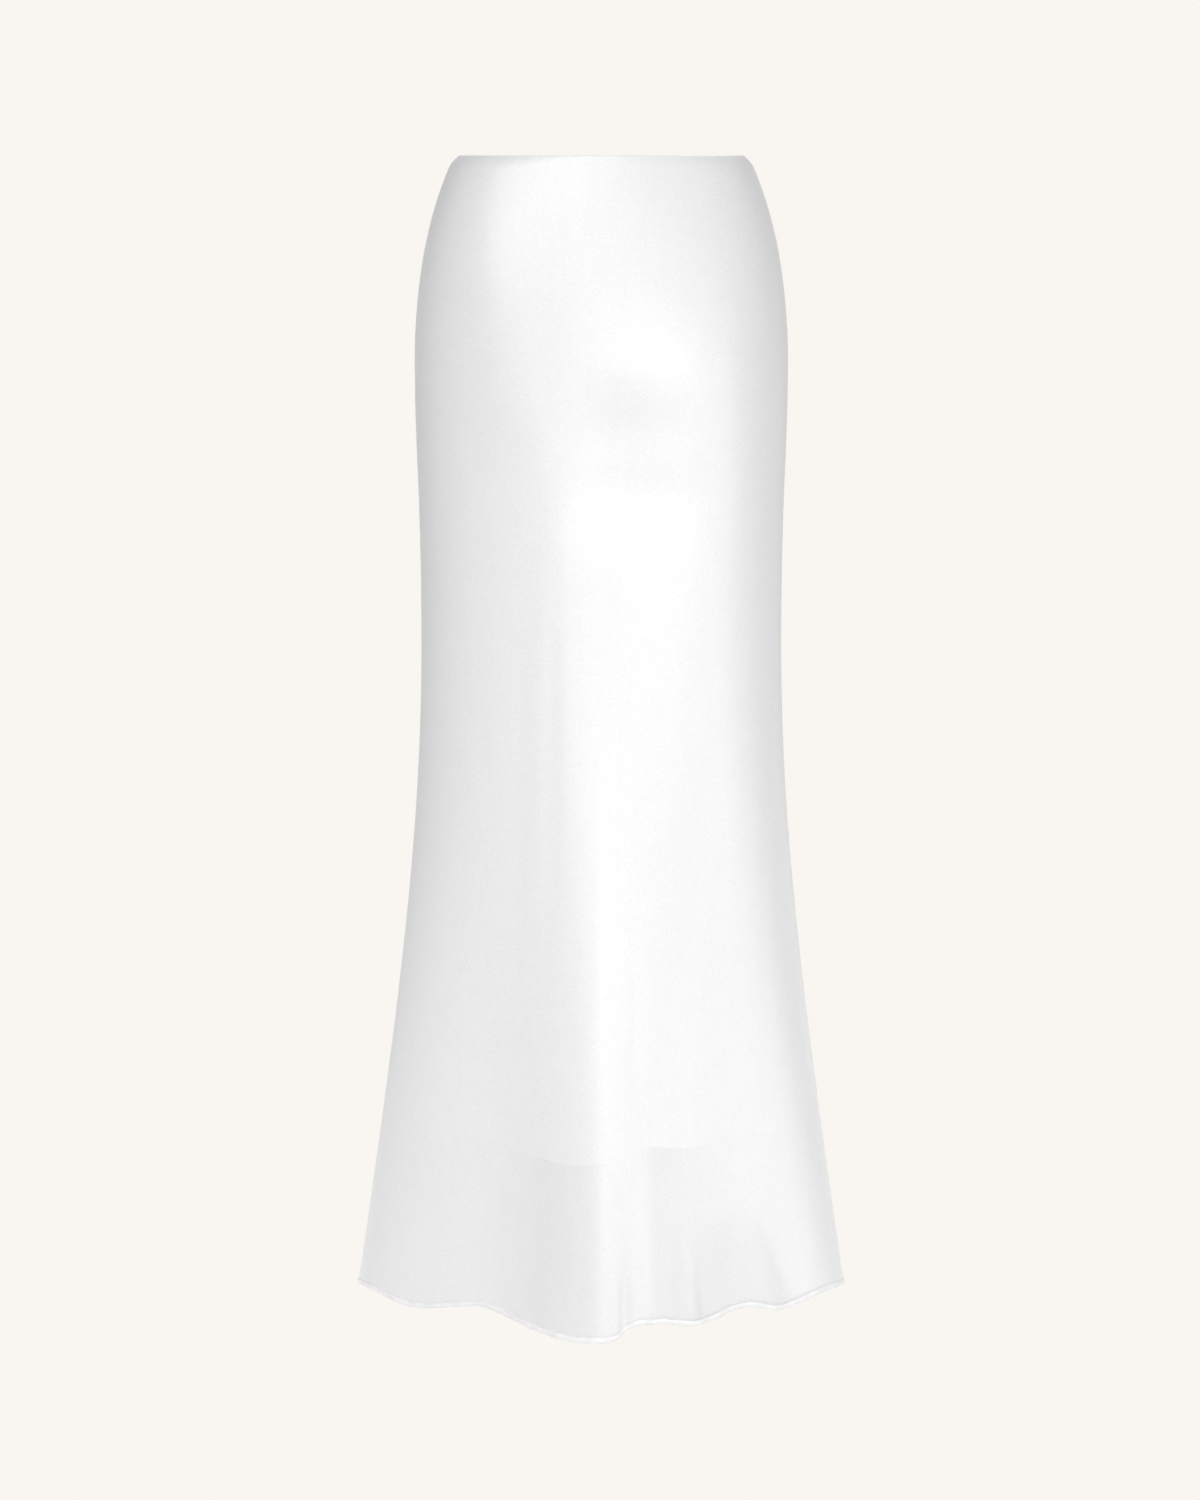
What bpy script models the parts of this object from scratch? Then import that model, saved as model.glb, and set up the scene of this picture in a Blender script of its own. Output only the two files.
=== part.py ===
"""A mermaid fishtail skirt of bias-cut satin, worn and empty: a front, two back panels, a shorter
lining and a concealed zip in the back seam.

Metres, +Z up. The origin is the middle of the waist edge, -Y is the front and +X the wearer's left.
Every sewn piece is worked out from one surface, the outer face of the skirt. A place on it has

    angle   round the body in radians, from the front centre towards the wearer's left,
    depth   below the waist edge, in metres,
    inset   level and inwards from the outer face, in metres.
"""

import math
from typing import Callable, NamedTuple

import bmesh
import bpy
import numpy as np
from mathutils import Matrix, Vector

MM = 0.001

# Driving dimensions
SKIRT_LENGTH = 1.035  # waist edge to hem at the side seams
LINING_LENGTH = 0.893  # waist edge to the lining's hem
ZIP_LENGTH = 0.200  # waist edge to the end of the concealed zip
WALL = 1.0 * MM  # satin, and lining, thickened to the least wall that stays solid
SEAM_GAP = 0.3 * MM  # between pieces that are sewn edge to edge

# Waist edge: the satin rolls in over the hips' corners and is turned down inside
ROLL_DEPTH = 11 * MM
ROLL_IN_SIDE = 3.5 * MM
ROLL_IN_FRONT = 1.0 * MM
TURNED_GAP = 1.8 * MM  # between the satin and its turned-down edge, where the zip tape lies
TURNED_DEPTH = 8.0 * MM
TURN_STEPS = 4

# Hem: a narrow rolled hem, thicker than the satin on both faces
HEM_HEIGHT = 6.2 * MM
HEM_PROUD = 0.7 * MM
HEM_STEP = 0.6 * MM

# Lining: hangs inside, ever further from the satin
LINING_INSET_TOP = WALL + TURNED_GAP
LINING_INSET_HEM = 17 * MM
LINING_SQUARENESS = 1.9  # the least exponent of its plan, so that it stays rounder than the satin
LINING_HEM_PROUD = 0.4 * MM
LINING_HEM_HEIGHT = 12 * MM
LINING_WAVES = 6
LINING_WAVE_HEIGHT = 2.5 * MM
LINING_ZIP_MARGIN = 5.5 * MM  # the lining stops this far from the zip's middle

# Concealed zip
TAPE_INSET = 1.4 * MM
TAPE_THICKNESS = 1.0 * MM
TAPE_WIDTH = 12 * MM
TAPE_TOP = 2.9 * MM
NOTCH_HALF = 1.0 * MM  # half the width of the slit that the slider's neck stands in
NOTCH_DEPTHS = (9.2 * MM, 10.7 * MM, 16.3 * MM, 17.8 * MM)  # starts, open, open, ends
SLIDER_WIDTH = 7.0 * MM
SLIDER_HEIGHT = 8.4 * MM
SLIDER_THICKNESS = 2.6 * MM
SLIDER_INSET = 2.9 * MM
NECK_THICKNESS = 1.2 * MM
NECK_RADIUS = 2.3 * MM
NECK_HOLE_RADIUS = 0.95 * MM
PIN_STAND_OFF = 3.0 * MM  # the pull's pin outside the satin
PIN_RADIUS = 0.6 * MM
PULL_LENGTH = 19 * MM
PULL_EAR_RADIUS = 1.7 * MM
PULL_EAR_HALF = 2.0 * MM
PULL_BELLY_RADIUS = 2.5 * MM
PULL_THICKNESS = 1.5 * MM
PULL_SLOT_HALF = 0.95 * MM
PULL_SLOT_REACH = 2.8 * MM
PULL_REST_LEAN = 5.5  # degrees that the pull leans in until its tip is on the satin

FRONT_COLUMNS = 45
BACK_COLUMNS = 19
LINING_FRONT_COLUMNS = 16
LINING_BACK_COLUMNS = 8


class Section(NamedTuple):
    """The plan of the worn skirt at one depth, without its folds."""

    depth: float
    half_width: float
    front: float
    back: float
    squareness: float  # exponent of the plan curve: 2 is an ellipse, and less is drawn out at the sides


SECTIONS = (
    Section(0.000, 0.1310, 0.0900, 0.0820, 2.20),
    Section(0.017, 0.1384, 0.0925, 0.0885, 2.20),
    Section(0.041, 0.1471, 0.0960, 0.0970, 2.20),
    Section(0.075, 0.1562, 0.1000, 0.1070, 2.20),
    Section(0.119, 0.1634, 0.1040, 0.1165, 2.20),
    Section(0.164, 0.1669, 0.1060, 0.1215, 2.20),
    Section(0.208, 0.1672, 0.1058, 0.1220, 2.20),
    Section(0.253, 0.1662, 0.1038, 0.1195, 2.20),
    Section(0.298, 0.1646, 0.1020, 0.1160, 2.20),
    Section(0.389, 0.1629, 0.1010, 0.1085, 2.20),
    Section(0.480, 0.1636, 0.1008, 0.1045, 2.15),
    Section(0.572, 0.1679, 0.1010, 0.1045, 2.05),
    Section(0.664, 0.1757, 0.1015, 0.1070, 1.88),
    Section(0.758, 0.1864, 0.1030, 0.1110, 1.72),
    Section(0.852, 0.1989, 0.1060, 0.1160, 1.60),
    Section(0.946, 0.2124, 0.1100, 0.1220, 1.51),
    Section(1.035, 0.2259, 0.1140, 0.1280, 1.45),
)


class Fold(NamedTuple):
    """A soft fold that runs down to the hem, where it is highest. With a rise below 0 it is a hollow."""

    angle: float  # of its crest at the hem, degrees from the front centre
    lean: float  # degrees from there to its crest at the top
    near: float  # degrees from the crest to where its lower-angle side fades
    far: float  # degrees from the crest to where its higher-angle side fades
    start: float  # depth of its top
    rise: float  # how far it stands out at the hem, in metres
    drop: float  # how much lower the bias cloth hangs along it at the hem, in metres


FOLDS = (
    Fold(angle=-73, lean=0, near=14, far=16, start=0.62, rise=0.0, drop=0.0080),
    Fold(angle=-50, lean=-4, near=12, far=12, start=0.60, rise=0.0, drop=-0.0026),
    Fold(angle=-6, lean=-5, near=52, far=32, start=0.34, rise=0.0150, drop=0.0150),
    Fold(angle=10, lean=0, near=66, far=64, start=0.34, rise=0.0170, drop=0.0),
    Fold(angle=5, lean=0, near=8, far=6, start=0.60, rise=0.0005, drop=0.0008),
    Fold(angle=14, lean=0, near=9, far=8, start=0.50, rise=-0.0007, drop=-0.0066),
    Fold(angle=22, lean=-1, near=7, far=8, start=0.60, rise=0.0006, drop=-0.0036),
    Fold(angle=30, lean=-2, near=9, far=9, start=0.60, rise=-0.0006, drop=-0.0018),
    Fold(angle=40, lean=-2, near=46, far=21, start=0.46, rise=0.0035, drop=0.0084),
    Fold(angle=62, lean=0, near=8, far=10, start=0.60, rise=0.0, drop=-0.0038),
    Fold(angle=70, lean=0, near=18, far=14, start=0.66, rise=0.0, drop=0.0088),
    Fold(angle=116, lean=-3, near=20, far=18, start=0.70, rise=0.0100, drop=0.0040),
    Fold(angle=146, lean=5, near=22, far=20, start=0.50, rise=0.0240, drop=0.0080),
    Fold(angle=177, lean=0, near=18, far=22, start=0.60, rise=0.0170, drop=0.0050),
    Fold(angle=-144, lean=-6, near=22, far=22, start=0.46, rise=0.0270, drop=0.0090),
    Fold(angle=-112, lean=2, near=18, far=18, start=0.72, rise=0.0090, drop=0.0030),
)
FOLD_GROWTH = 1.5  # above 1, a fold opens more quickly near the hem

# Depths of the rows of points on the outer face, below the turned waist edge and above the hem
ROWS = (
    0.005, *NOTCH_DEPTHS, 0.034, 0.058, 0.090, 0.135, ZIP_LENGTH, 0.255, 0.315, 0.385, 0.460, 0.530,
    0.595, 0.655, 0.710, 0.765, 0.815, 0.865, 0.912, 0.957, 1.000,
)


class Station(NamedTuple):
    """One place along a wall's cut edge: a point on its outer face and one on its inner face."""

    outer_inset: float
    outer_depth: float
    inner_inset: float
    inner_depth: float


def level(depth: float, outer_inset: float, inner_inset: float) -> Station:
    """A station whose two points lie at the same depth."""
    return Station(outer_inset, depth, inner_inset, depth)


# The worn surface


def smooth(x: np.ndarray) -> np.ndarray:
    """0 below 0, 1 above 1, and an S-shaped cubic between."""
    x = np.clip(x, 0, 1)
    return x * x * (3 - 2 * x)


def along_sections(column: str, depth: np.ndarray) -> np.ndarray:
    """One column of SECTIONS at any depth: cubic pieces whose slopes are the mean slopes between rows."""
    depths = np.array([s.depth for s in SECTIONS])
    values = np.array([getattr(s, column) for s in SECTIONS])
    slopes = np.gradient(values, depths)
    i = np.clip(np.searchsorted(depths, depth) - 1, 0, len(depths) - 2)
    span = depths[i + 1] - depths[i]
    t = (depth - depths[i]) / span
    return (
        values[i] * (1 + 2 * t) * (1 - t) ** 2
        + values[i + 1] * t * t * (3 - 2 * t)
        + slopes[i] * span * t * (1 - t) ** 2
        - slopes[i + 1] * span * t * t * (1 - t)
    )


def along_folds(column: str, angle: np.ndarray, depth: np.ndarray) -> np.ndarray:
    """One column of FOLDS at any place. Each fold is a raised cosine, wider on one side of its crest."""
    total = np.zeros(np.broadcast(angle, depth).shape)
    for fold in FOLDS:
        grown = smooth((depth - fold.start) / (SKIRT_LENGTH - fold.start)) ** FOLD_GROWTH
        crest = math.radians(fold.angle) + math.radians(fold.lean) * (1 - grown)
        off = (angle - crest + math.pi) % (2 * math.pi) - math.pi
        across = np.where(off < 0, -off / math.radians(fold.near), off / math.radians(fold.far))
        bump = 0.5 + 0.5 * np.cos(math.pi * np.clip(across, 0, 1))
        total = total + getattr(fold, column) * bump * grown
    return total


def plan_radius(angle: np.ndarray, depth: np.ndarray, folded: bool) -> np.ndarray:
    """Distance of the outer face from the body's axis: a squared ellipse, and the folds on it.

    Without folds it is the rounder surface that the lining hangs in.
    """
    half_depth = np.where(np.cos(angle) > 0, along_sections("front", depth), along_sections("back", depth))
    power = np.maximum(along_sections("squareness", depth), 0 if folded else LINING_SQUARENESS)
    across = np.abs(np.sin(angle) / along_sections("half_width", depth)) ** power
    along = np.abs(np.cos(angle) / half_depth) ** power
    radius = (across + along) ** (-1 / power)
    return radius + along_folds("rise", angle, depth) if folded else radius


def plan_point(angle: np.ndarray, depth: np.ndarray, folded: bool) -> np.ndarray:
    """x and y of the outer face."""
    radius = plan_radius(angle, depth, folded)
    return np.stack([radius * np.sin(angle), -radius * np.cos(angle)], axis=-1)


def roll_in(angle: np.ndarray, depth: np.ndarray) -> np.ndarray:
    """How far the last of the satin leans in at the waist edge, most at the sides."""
    most = ROLL_IN_FRONT + (ROLL_IN_SIDE - ROLL_IN_FRONT) * np.sin(angle) ** 2
    return most * np.clip(1 - depth / ROLL_DEPTH, 0, 1) ** 2


def point(angle: np.ndarray, depth: np.ndarray, inset: np.ndarray, folded: bool = True) -> np.ndarray:
    """The place at that angle, depth and inset. The inset runs level, square to the plan curve."""
    step = 1e-5
    across = plan_point(angle + step, depth, folded) - plan_point(angle - step, depth, folded)
    outward = np.stack([across[..., 1], -across[..., 0]], axis=-1)
    outward /= np.linalg.norm(outward, axis=-1, keepdims=True)
    inwards = (inset + roll_in(angle, depth))[..., None]
    plan = plan_point(angle, depth, folded) - inwards * outward
    dip = along_folds("drop", angle, depth) if folded else 0
    return np.concatenate([plan, -(depth + dip)[..., None]], axis=-1)


# Walls


def closed_wall(outer: np.ndarray, inner: np.ndarray) -> tuple[list, list]:
    """Points and faces of a wall, from matching grids of points on its outer and inner faces.

    The grids run station by station down the piece, and column by column towards the wearer's left.
    """
    stations, columns = outer.shape[:2]
    points = np.concatenate([outer.reshape(-1, 3), inner.reshape(-1, 3)])
    number = np.arange(2 * stations * columns).reshape(2, stations, columns)

    def quads(a: np.ndarray, b: np.ndarray) -> list:
        """The strip or grid of faces between two rows of corners, a above or outside b."""
        return np.stack([a[..., :-1], b[..., :-1], b[..., 1:], a[..., 1:]], axis=-1).reshape(-1, 4).tolist()

    out, into = number
    faces = quads(out[:-1], out[1:])
    faces += quads(into[1:], into[:-1])
    faces += quads(into[0], out[0])
    faces += quads(out[-1], into[-1])
    faces += quads(out[:, 0], into[:, 0])
    faces += quads(into[:, -1], out[:, -1])
    return points.tolist(), faces


def make_object(name: str, points: list, faces: list, material: bpy.types.Material) -> bpy.types.Object:
    """A named mesh object, shaded smooth but for its folded edges."""
    mesh = bpy.data.meshes.new(name)
    mesh.from_pydata(points, [], faces)
    mesh.shade_smooth()
    mesh.set_sharp_from_angle(angle=math.radians(50))
    mesh.materials.append(material)
    obj = bpy.data.objects.new(name, mesh)
    bpy.context.scene.collection.objects.link(obj)
    return obj


def sewn_piece(
    name: str,
    stations: list[Station],
    edges: tuple[float, float],
    margins: tuple[Callable, Callable],
    columns: int,
    material: bpy.types.Material,
    folded: bool = True,
    lift: Callable | None = None,
) -> bpy.types.Object:
    """A wall between two seams, given by their angles and the margin it leaves beside each, by depth."""
    grids = []
    for face in ("outer", "inner"):
        inset = np.array([getattr(s, face + "_inset") for s in stations])[:, None]
        depth = np.array([getattr(s, face + "_depth") for s in stations])[:, None]
        ends = [
            edge + sign * margin(depth) / plan_radius(np.full_like(depth, edge), depth, folded)
            for edge, sign, margin in zip(edges, (1, -1), margins)
        ]
        share = np.linspace(0, 1, columns + 1)[None, :]
        angle = ends[0] + (ends[1] - ends[0]) * share
        depth, inset = depth + 0 * angle, inset + 0 * angle
        if lift is not None:
            inset = inset - lift(angle, depth)
        grids.append(point(angle, depth, inset, folded))
    return make_object(name, *closed_wall(*grids), material)


def sewn(depth: np.ndarray) -> np.ndarray:
    """Half a seam's gap, at every depth."""
    return np.full_like(depth, SEAM_GAP / 2)


def zipped(depth: np.ndarray) -> np.ndarray:
    """Half the gap of the back seam: as sewn, but wider round the slider's neck."""
    starts, opened, closes, ends = NOTCH_DEPTHS
    width = np.interp(depth, [starts, opened, closes, ends], [0, 1, 1, 0])
    return SEAM_GAP / 2 + (NOTCH_HALF - SEAM_GAP / 2) * width


def beside_zip(depth: np.ndarray) -> np.ndarray:
    """Half the gap of the lining's back seam: clear of the zip, and sewn below it."""
    clear = smooth((ZIP_LENGTH + 0.020 - depth) / 0.030)
    return SEAM_GAP / 2 + (LINING_ZIP_MARGIN - SEAM_GAP / 2) * clear


def waist_turn() -> list[Station]:
    """The satin's turned-down edge, from its cut end inside, up and over the waist."""
    turned_outer = 2 * WALL + TURNED_GAP
    centre = turned_outer / 2
    cut_end = Station(turned_outer, TURNED_DEPTH, turned_outer - WALL, TURNED_DEPTH)
    turn = []
    for k in range(TURN_STEPS + 1):
        lean = math.pi * k / TURN_STEPS
        reach_out, reach_in = centre, centre - WALL
        turn.append(
            Station(
                centre + reach_out * math.cos(lean),
                centre - reach_out * math.sin(lean),
                centre + reach_in * math.cos(lean),
                centre - reach_in * math.sin(lean),
            )
        )
    return [cut_end, *turn]


def hem_roll(length: float, height: float, proud: float) -> list[Station]:
    """The last rows of a wall, thickened on both faces as a turned hem is."""
    profile = ((height + HEM_STEP, 0.0), (height, 0.7), (height / 2, 1.0), (HEM_STEP, 0.7), (0.0, 0.1))
    return [level(length - up, -proud * share, WALL + proud * share) for up, share in profile]


def skirt_stations() -> list[Station]:
    """A skirt panel from its turned waist edge to its hem."""
    return [*waist_turn(), *(level(d, 0, WALL) for d in ROWS), *hem_roll(SKIRT_LENGTH, HEM_HEIGHT, HEM_PROUD)]


def lining_stations() -> list[Station]:
    """A lining panel, from just under the satin's turned edge to its own hem."""

    def inset(depth: float) -> float:
        reached = depth / LINING_LENGTH
        return LINING_INSET_TOP + (LINING_INSET_HEM - LINING_INSET_TOP) * reached**1.5

    top = TURNED_DEPTH + SEAM_GAP
    depths = [top, *(d for d in ROWS if top + MM < d < LINING_LENGTH - 2 * LINING_HEM_HEIGHT)]
    body = [level(d, inset(d), inset(d) + WALL) for d in depths]
    hem = [
        level(s.outer_depth, inset(s.outer_depth) + s.outer_inset, inset(s.outer_depth) + s.inner_inset)
        for s in hem_roll(LINING_LENGTH, LINING_HEM_HEIGHT, LINING_HEM_PROUD)
    ]
    return body + hem


def lining_waves(angle: np.ndarray, depth: np.ndarray) -> np.ndarray:
    """How far the lining's soft waves stand out: a cosine round the body that grows down to the hem."""
    return LINING_WAVE_HEIGHT * np.cos(LINING_WAVES * angle) * smooth(depth / LINING_LENGTH - 0.2)


# Zip


def tape_stations() -> list[Station]:
    """A zip tape, between the satin and the lining."""
    depths = [TAPE_TOP, *(d for d in ROWS if TAPE_TOP < d < ZIP_LENGTH - MM), ZIP_LENGTH]
    return [level(d, TAPE_INSET, TAPE_INSET + TAPE_THICKNESS) for d in depths]


def plate(outline: list[tuple[float, float]], thickness: float) -> bmesh.types.BMesh:
    """A plate in the local YZ plane, centred on x = 0."""
    bm = bmesh.new()
    face = bm.faces.new([bm.verts.new((-thickness / 2, y, z)) for y, z in outline])
    grown = bmesh.ops.extrude_face_region(bm, geom=[face])
    moved = [v for v in grown["geom"] if isinstance(v, bmesh.types.BMVert)]
    bmesh.ops.translate(bm, verts=moved, vec=(thickness, 0, 0))
    bmesh.ops.recalc_face_normals(bm, faces=bm.faces)
    return bm


def link_bmesh(name: str, bm: bmesh.types.BMesh, material: bpy.types.Material | None) -> bpy.types.Object:
    """A new object that holds the bmesh, which is then freed."""
    mesh = bpy.data.meshes.new(name)
    bm.to_mesh(mesh)
    bm.free()
    if material is not None:
        mesh.materials.append(material)
    obj = bpy.data.objects.new(name, mesh)
    bpy.context.scene.collection.objects.link(obj)
    return obj


def cylinder(name: str, radius: float, length: float, sides: int, place: Vector) -> bpy.types.Object:
    """A cylinder along local X, used as a cutter or joined to a piece."""
    bm = bmesh.new()
    turn = Matrix.Translation(place) @ Matrix.Rotation(math.pi / 2, 4, "Y")
    bmesh.ops.create_cone(
        bm, cap_ends=True, segments=sides, radius1=radius, radius2=radius, depth=length, matrix=turn
    )
    return link_bmesh(name, bm, None)


def box(name: str, size: Vector, place: Vector) -> bpy.types.Object:
    """A box of that size, centred on that place."""
    bm = bmesh.new()
    bmesh.ops.create_cube(bm, size=1, matrix=Matrix.Translation(place) @ Matrix.Diagonal((*size, 1)))
    return link_bmesh(name, bm, None)


def boolean(target: bpy.types.Object, other: bpy.types.Object, operation: str) -> None:
    """Cuts or joins with a live modifier. The other object becomes a helper, not part of the skirt."""
    modifier = target.modifiers.new(other.name, "BOOLEAN")
    modifier.operation = operation
    modifier.object = other
    other.parent = target
    other.hide_render = True
    other.display_type = "WIRE"


def arc(centre: tuple[float, float], radius: float, start: float, end: float, steps: int) -> list:
    """Points of an arc in the YZ plane, between two angles in degrees, measured from +Y towards +Z."""
    turns = np.radians(np.linspace(start, end, steps + 1))
    return [(centre[0] + radius * math.cos(t), centre[1] + radius * math.sin(t)) for t in turns]


def zip_place() -> tuple[Vector, float]:
    """Where the pull's pin is, and how far the satin there leans back from upright."""
    middle = sum(NOTCH_DEPTHS[1:3]) / 2
    angle, around = np.full(2, math.pi), np.array([middle - 4 * MM, middle + 4 * MM])
    upper, lower = point(angle, around, np.zeros(2))
    lean = math.atan2(lower[1] - upper[1], upper[2] - lower[2])
    outward = Vector((0, math.cos(lean), math.sin(lean)))
    return Vector((upper + lower) / 2) + outward * PIN_STAND_OFF, lean


def make_slider(holder: bpy.types.Object, material: bpy.types.Material) -> None:
    """The slider: a body behind the tapes, and a neck through the seam with the hole for the pull's pin.

    In the holder's frame the pin is the origin, +Y leads out of the satin and -Z down along it.
    """
    behind = -(PIN_STAND_OFF + SLIDER_INSET)
    body = box(
        "zip_slider",
        Vector((SLIDER_WIDTH, SLIDER_THICKNESS, SLIDER_HEIGHT)),
        Vector((0, behind - SLIDER_THICKNESS / 2, 0)),
    )
    body.data.materials.append(material)
    body.parent = holder
    bevel = body.modifiers.new("Bevel", "BEVEL")
    bevel.width, bevel.segments = 0.8 * MM, 2
    root = behind - SLIDER_THICKNESS / 2
    outline = [(root, -NECK_RADIUS), *arc((0, 0), NECK_RADIUS, -90, 90, 10), (root, NECK_RADIUS)]
    neck = link_bmesh("slider_neck", plate(outline, NECK_THICKNESS), None)
    hole = cylinder("neck_hole", NECK_HOLE_RADIUS, 4 * NECK_THICKNESS, 16, Vector())
    boolean(body, neck, "UNION")
    boolean(body, hole, "DIFFERENCE")


def pull_half_width(down: float) -> float:
    """Half the pull's width, that far below its pin: round ears, then a drop that ends in a round tip."""
    tip = PULL_LENGTH - PULL_BELLY_RADIUS
    if down < 0:
        return PULL_EAR_HALF * math.sqrt(max(1 - (down / PULL_EAR_RADIUS) ** 2, 0.05))
    if down < tip:
        return PULL_EAR_HALF + (PULL_BELLY_RADIUS - PULL_EAR_HALF) * (down / tip) ** 1.6
    return PULL_BELLY_RADIUS * math.sqrt(max(1 - ((down - tip) / PULL_BELLY_RADIUS) ** 2, 0.02))


def make_pull(holder: bpy.types.Object, material: bpy.types.Material) -> None:
    """The drop-shaped pull: two ears on the slider's neck, the pin between them, and a thin blade below."""
    reach = np.linspace(0, 1, 21)
    down = -PULL_EAR_RADIUS + (PULL_LENGTH + PULL_EAR_RADIUS) * (1 - np.cos(math.pi * reach)) / 2
    across = np.linspace(1, -1, 7)
    half = np.array([pull_half_width(d) for d in down])
    thick_share = 1 - smooth((down - 0.6 * MM) / (4.5 * MM))
    thick = PULL_THICKNESS + (2 * PULL_EAR_RADIUS - PULL_THICKNESS) * thick_share
    thick = thick * np.sqrt(np.clip(1 - (np.minimum(down, 0) / PULL_EAR_RADIUS) ** 2, 0.12, 1))
    x = half[:, None] * across[None, :]
    y = thick[:, None] / 2 * (1 - 0.35 * across[None, :] ** 4)
    z = -down[:, None] + 0 * x
    grids = [np.stack([x, side * y, z], axis=-1) for side in (1, -1)]
    pull = make_object("zip_pull", *closed_wall(*grids), material)
    pull.parent = holder
    pull.rotation_euler.x = math.radians(-PULL_REST_LEAN)
    slot_height = PULL_SLOT_REACH + 2 * PULL_EAR_RADIUS
    slot = box(
        "pull_slot",
        Vector((2 * PULL_SLOT_HALF, 4 * PULL_EAR_RADIUS, slot_height)),
        Vector((0, 0, slot_height / 2 - PULL_SLOT_REACH)),
    )
    pin = cylinder("pull_pin", PIN_RADIUS, 2 * (PULL_SLOT_HALF + 0.5 * MM), 12, Vector())
    boolean(pull, slot, "DIFFERENCE")
    boolean(pull, pin, "UNION")


# The whole skirt


def make_material(
    name: str, colour: tuple[float, float, float], roughness: float, metallic: float
) -> bpy.types.Material:
    """A Principled material of one plain finish."""
    material = bpy.data.materials.new(name)
    material.use_nodes = True
    shader = material.node_tree.nodes["Principled BSDF"]
    shader.inputs["Base Color"].default_value = (*colour, 1)
    shader.inputs["Roughness"].default_value = roughness
    shader.inputs["Metallic"].default_value = metallic
    material.diffuse_color = (*colour, 1)
    return material


def make_panels(satin: bpy.types.Material) -> None:
    """The satin: a front cut in one, and a left and a right back that meet at the zip."""
    side, back = math.pi / 2, math.pi
    stations = skirt_stations()
    sewn_piece("front_panel", stations, (-side, side), (sewn, sewn), FRONT_COLUMNS, satin)
    sewn_piece("back_panel_left", stations, (side, back), (sewn, zipped), BACK_COLUMNS, satin)
    sewn_piece("back_panel_right", stations, (-back, -side), (zipped, sewn), BACK_COLUMNS, satin)


def make_lining(cloth: bpy.types.Material) -> None:
    """The shorter lining, cut in the same three pieces."""
    side, back = math.pi / 2, math.pi
    shape = {"folded": False, "lift": lining_waves}
    stations = lining_stations()
    columns = (LINING_FRONT_COLUMNS, LINING_BACK_COLUMNS)
    sewn_piece("lining_front", stations, (-side, side), (sewn, sewn), columns[0], cloth, **shape)
    sewn_piece("lining_back_left", stations, (side, back), (sewn, beside_zip), columns[1], cloth, **shape)
    sewn_piece("lining_back_right", stations, (-back, -side), (beside_zip, sewn), columns[1], cloth, **shape)


def make_zip(tape: bpy.types.Material, metal: bpy.types.Material) -> None:
    """The concealed zip: two tapes, the slider, and the pull that swings on it."""
    back = math.pi

    tape_span = TAPE_WIDTH / float(plan_radius(np.array(back), np.array(ZIP_LENGTH / 2), False))
    stations = tape_stations()
    sewn_piece("zip_tape_left", stations, (back - tape_span, back), (sewn, zipped), 3, tape)
    sewn_piece("zip_tape_right", stations, (-back, tape_span - back), (zipped, sewn), 3, tape)
    pin, lean = zip_place()
    holder = bpy.data.objects.new("zip_holder", None)
    holder.location = pin
    holder.rotation_euler = (lean, 0, 0)
    bpy.context.scene.collection.objects.link(holder)
    make_slider(holder, metal)
    make_pull(holder, metal)


def main() -> None:
    """Clears the scene and models the skirt."""
    for obj in list(bpy.data.objects):
        bpy.data.objects.remove(obj)
    make_panels(make_material("satin", (0.93, 0.93, 0.93), 0.32, 0.0))
    make_lining(make_material("lining", (0.90, 0.90, 0.89), 0.55, 0.0))
    zip_materials = (
        make_material("zip_tape", (0.88, 0.88, 0.87), 0.7, 0.0),
        make_material("zip_metal", (0.86, 0.86, 0.85), 0.35, 0.6),
    )
    make_zip(*zip_materials)


if __name__ == "__main__":
    main()
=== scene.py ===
"""The looks of a white satin fishtail skirt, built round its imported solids.

Metres, +Z up, -Y the front, +X the wearer's left, with the middle of the waist edge as origin. Every
sewn piece is worked out from one surface, the outer face of the worn skirt. A place on it has an angle
round the body from the front centre, a depth below the waist edge, and an inset, level and inwards.
"""

import logging
import math
from dataclasses import dataclass, field
from enum import Enum
from typing import Any, NamedTuple

import bpy
import numpy as np
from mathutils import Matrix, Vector


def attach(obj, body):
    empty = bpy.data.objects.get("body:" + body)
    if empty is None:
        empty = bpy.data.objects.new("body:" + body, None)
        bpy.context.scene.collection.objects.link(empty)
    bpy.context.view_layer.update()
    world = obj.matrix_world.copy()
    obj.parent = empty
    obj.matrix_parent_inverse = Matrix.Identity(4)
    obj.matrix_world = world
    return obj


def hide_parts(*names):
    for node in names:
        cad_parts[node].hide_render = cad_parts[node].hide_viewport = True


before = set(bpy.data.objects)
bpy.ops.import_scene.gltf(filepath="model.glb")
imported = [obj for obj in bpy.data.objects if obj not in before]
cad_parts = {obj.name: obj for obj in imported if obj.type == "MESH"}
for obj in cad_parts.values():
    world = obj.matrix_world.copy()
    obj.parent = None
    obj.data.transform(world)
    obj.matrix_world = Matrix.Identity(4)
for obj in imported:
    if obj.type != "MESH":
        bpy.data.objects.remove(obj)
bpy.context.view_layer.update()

MM = 0.001
log = logging.getLogger("skirt")


# The worn surface


class Section(NamedTuple):
    """The plan of the worn skirt at one depth, without its folds."""

    depth: float
    half_width: float
    front: float
    back: float
    squareness: float


class Fold(NamedTuple):
    """A soft fold that runs down to the hem, where it is highest. Angles are in degrees."""

    angle: float
    lean: float
    near: float
    far: float
    start: float
    rise: float
    drop: float


class Crease(NamedTuple):
    """A shallow trough or ridge in the cloth, from a top to a bottom depth. Angles are in degrees."""

    angle: float
    lean: float
    width: float
    top: float
    bottom: float
    rise: float


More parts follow.
